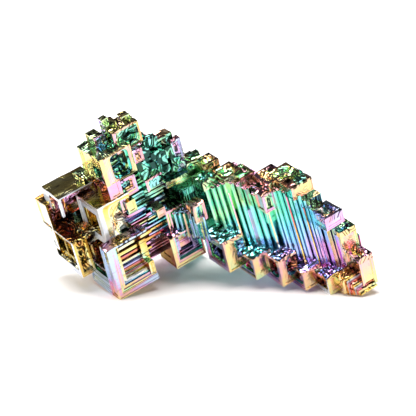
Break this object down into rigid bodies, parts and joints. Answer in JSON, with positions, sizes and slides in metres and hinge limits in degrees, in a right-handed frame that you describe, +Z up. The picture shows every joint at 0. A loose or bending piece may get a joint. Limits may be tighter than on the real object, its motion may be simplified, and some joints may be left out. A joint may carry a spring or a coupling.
{
  "type": "bismuth hopper crystal",
  "caption": "Iridescent bismuth crystal of grown-together skeletal cubes: a heap of stepped hopper cubes beside a long fluted wing.",
  "frame": {"origin": "centre of the crystal's bounding box, on the table plane that its lowest corners rest on", "axes": "+Z up, +X along the crystal from the heap of cubes to the tip of the wing, +Y away from the side that shows the stairs and flutes"},
  "size_m": [0.0704, 0.0316, 0.0378],
  "materials": {
    "bismuth": "mirror-bright metal under a rainbow oxide film: silver, straw yellow, pink, violet, blue, teal and green"
  },
  "bodies": {
    "root": {"bismuth_crystal": "bismuth"}
  },
  "joints": []
}
